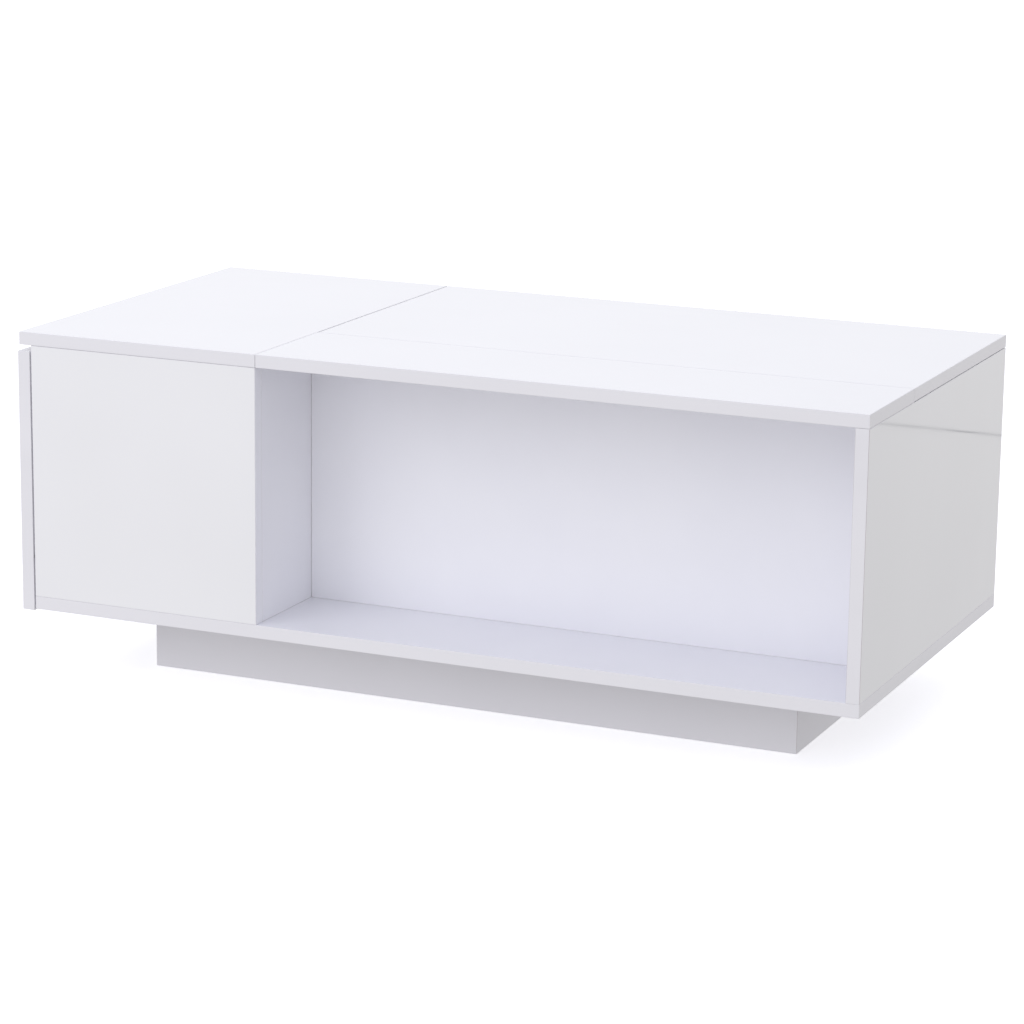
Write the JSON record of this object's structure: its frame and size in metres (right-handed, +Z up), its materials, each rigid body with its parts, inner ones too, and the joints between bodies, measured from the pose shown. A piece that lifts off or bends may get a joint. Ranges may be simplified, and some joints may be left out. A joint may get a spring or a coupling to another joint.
{
  "type": "lift top coffee table",
  "caption": "Low white gloss coffee table on a recessed plinth, with an end drawer, an open shelf and a hidden compartment under a rising top.",
  "frame": {"origin": "on the floor, under the middle of the table's outline", "axes": "+X runs to the right end, away from the drawer; +Y to the back, the side the lifting top rises towards; +Z is up"},
  "size_m": [1, 0.5, 0.4],
  "materials": {
    "gloss_white_board": "high-gloss white lacquer foil on fibreboard",
    "satin_white_board": "satin white melamine on particle board",
    "zinc_plated_steel": "bright zinc-plated pressed steel",
    "die_cast_zinc": "tumbled die-cast zinc",
    "bearing_steel": "polished bearing steel",
    "oiled_spring_steel": "dark oiled spring wire",
    "white_nylon": "moulded white nylon",
    "clear_polyurethane": "soft clear self-adhesive pads",
    "black_rubber": "soft black rubber",
    "beech": "plain beech",
    "white_hardboard": "white-faced hardboard"
  },
  "bodies": {
    "case": {"bottom_board": "gloss_white_board", "right_side_panel": "gloss_white_board", "partition": "satin_white_board", "left_front_panel": "gloss_white_board", "rear_panel": "gloss_white_board", "shelf_back_panel": "satin_white_board", "left_top": "gloss_white_board", "front_top_strip": "gloss_white_board", "plinth_front": "gloss_white_board", "plinth_back": "gloss_white_board", "plinth_left": "gloss_white_board", "plinth_right": "gloss_white_board", "plinth_brace": "satin_white_board", "plinth_corner_blocks": "beech", "plinth_screws": "zinc_plated_steel", "cam_locks": "die_cast_zinc", "cam_bolts": "zinc_plated_steel", "cam_caps": "white_nylon", "dowels": "beech", "drawer_bumpers": "black_rubber", "case_runner_front": "zinc_plated_steel", "case_runner_back": "zinc_plated_steel", "case_runner_screws": "zinc_plated_steel", "lift_pads": "clear_polyurethane", "base_bracket_left": "zinc_plated_steel", "base_bracket_right": "zinc_plated_steel", "base_pivot_pins": "zinc_plated_steel", "base_washers": "white_nylon", "spring_anchors": "oiled_spring_steel", "spring_bushes": "white_nylon", "base_bracket_screws": "zinc_plated_steel"},
    "drawer": {"drawer_front": "gloss_white_board", "drawer_side_front": "satin_white_board", "drawer_side_back": "satin_white_board", "drawer_back": "satin_white_board", "drawer_bottom": "white_hardboard", "drawer_cam_locks": "die_cast_zinc", "drawer_cam_bolts": "zinc_plated_steel", "drawer_dowels": "beech", "drawer_screws": "zinc_plated_steel", "drawer_runner_front": "zinc_plated_steel", "drawer_runner_back": "zinc_plated_steel", "drawer_runner_screws": "zinc_plated_steel"},
    "ball_cages": {"ball_cage_front": "zinc_plated_steel", "ball_cage_back": "zinc_plated_steel", "runner_balls_front": "bearing_steel", "runner_balls_back": "bearing_steel"},
    "front_arms": {"front_arm_left": "zinc_plated_steel", "front_arm_right": "zinc_plated_steel", "spring_coils": "oiled_spring_steel"},
    "rear_arms": {"rear_arm_left": "zinc_plated_steel", "rear_arm_right": "zinc_plated_steel"},
    "lifting_top": {"lift_top": "gloss_white_board", "top_bracket_left": "zinc_plated_steel", "top_bracket_right": "zinc_plated_steel", "top_pivot_pins": "zinc_plated_steel", "top_washers": "white_nylon", "top_bracket_screws": "zinc_plated_steel"}
  },
  "joints": [
    {"name": "drawer_slide", "type": "slide", "parent": "case", "child": "drawer", "axis": [-1, 0, 0], "range_m": [0, 0.185]},
    {"name": "cage_slide", "type": "slide", "parent": "case", "child": "ball_cages", "axis": [-1, 0, 0], "range_m": [0, 0.0925]},
    {"name": "lift", "type": "hinge", "parent": "case", "child": "front_arms", "pos_m": [0, 0.11, 0.32], "axis": [-1, 0, 0], "range_deg": [0, 110]},
    {"name": "rear_arm_swing", "type": "hinge", "parent": "case", "child": "rear_arms", "pos_m": [0, 0.17, 0.362], "axis": [-1, 0, 0], "range_deg": [0, 110]},
    {"name": "top_leveling", "type": "hinge", "parent": "front_arms", "child": "lifting_top", "pos_m": [0, -0.07, 0.32], "axis": [-1, 0, 0], "range_deg": [-110, 0]}
  ],
  "couplings": [
    {"joint": "cage_slide", "follows": "drawer_slide", "ratio": 0.5},
    {"joint": "rear_arm_swing", "follows": "lift", "ratio": 1},
    {"joint": "top_leveling", "follows": "lift", "ratio": -1}
  ]
}
